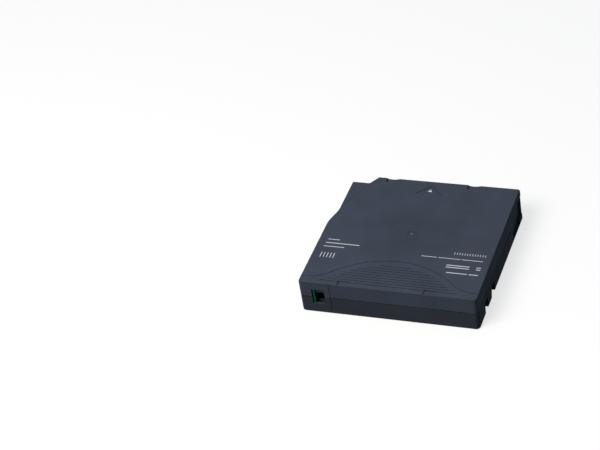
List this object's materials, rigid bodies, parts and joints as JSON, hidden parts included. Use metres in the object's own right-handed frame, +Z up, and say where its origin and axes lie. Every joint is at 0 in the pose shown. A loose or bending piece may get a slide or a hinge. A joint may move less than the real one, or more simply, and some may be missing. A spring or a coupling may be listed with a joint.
{
  "type": "data tape cartridge",
  "caption": "Single-reel data tape cartridge with a two-part case, a sliding access door, a write protect tab and a reel with its brake.",
  "frame": {"origin": "centre of the underside", "axes": "+Z up through the top face, +Y towards the edge that enters the drive first, -Y towards the label edge, +X to the side of the access door"},
  "size_m": [0.1054, 0.102, 0.0215],
  "materials": {
    "case_plastic": "fine moulded grain",
    "door_plastic": "fine moulded grain",
    "tab_plastic": "satin",
    "reel_plastic": "satin",
    "flange_plastic": "smooth",
    "tape_film": "wound film edge",
    "brake_plastic": "satin",
    "plain_steel": "ground",
    "spring_steel": "drawn wire",
    "screw_steel": "blackened",
    "board_laminate": "solder mask",
    "print_ink": "pad-printed ink",
    "chip_resin": "moulded resin"
  },
  "bodies": {
    "case": {"upper_shell": "case_plastic", "lower_shell": "case_plastic", "case_screws": "screw_steel", "door_spring": "spring_steel", "leader_pin": "plain_steel", "leader_clamp": "brake_plastic", "leader_tape": "tape_film", "pin_clip_lower": "spring_steel", "pin_clip_upper": "spring_steel", "brake_spring": "spring_steel", "memory_board": "board_laminate", "memory_chip": "chip_resin"},
    "door": {"access_door": "door_plastic"},
    "protect_tab": {"write_protect_tab": "tab_plastic"},
    "reel": {"reel_hub": "reel_plastic", "upper_flange": "flange_plastic", "chuck_plate": "plain_steel", "tape_pack": "tape_film"},
    "brake": {"brake_button": "brake_plastic"},
    "release": {"brake_release": "brake_plastic"}
  },
  "joints": [
    {"name": "door_slide", "type": "slide", "parent": "case", "child": "door", "axis": [0, -1, 0], "range_m": [0, 0.0208], "stiffness_N_per_m": 15, "springref_m": -0.02, "deforming": ["door_spring"]},
    {"name": "protect_tab_slide", "type": "slide", "parent": "case", "child": "protect_tab", "axis": [1, 0, 0], "range_m": [0, 0.0056]},
    {"name": "reel_spin", "type": "hinge", "parent": "case", "child": "reel", "pos_m": [0, 0, 0.01], "axis": [0, 0, 1], "continuous": true},
    {"name": "brake_lift", "type": "slide", "parent": "case", "child": "brake", "axis": [0, 0, 1], "range_m": [0, 0.0018], "stiffness_N_per_m": 300, "springref_m": -0.006, "deforming": ["brake_spring"]},
    {"name": "release_lift", "type": "slide", "parent": "reel", "child": "release", "axis": [0, 0, 1], "range_m": [0, 0.0018]}
  ],
  "couplings": [
    {"joint": "release_lift", "follows": "brake_lift", "ratio": 1}
  ]
}
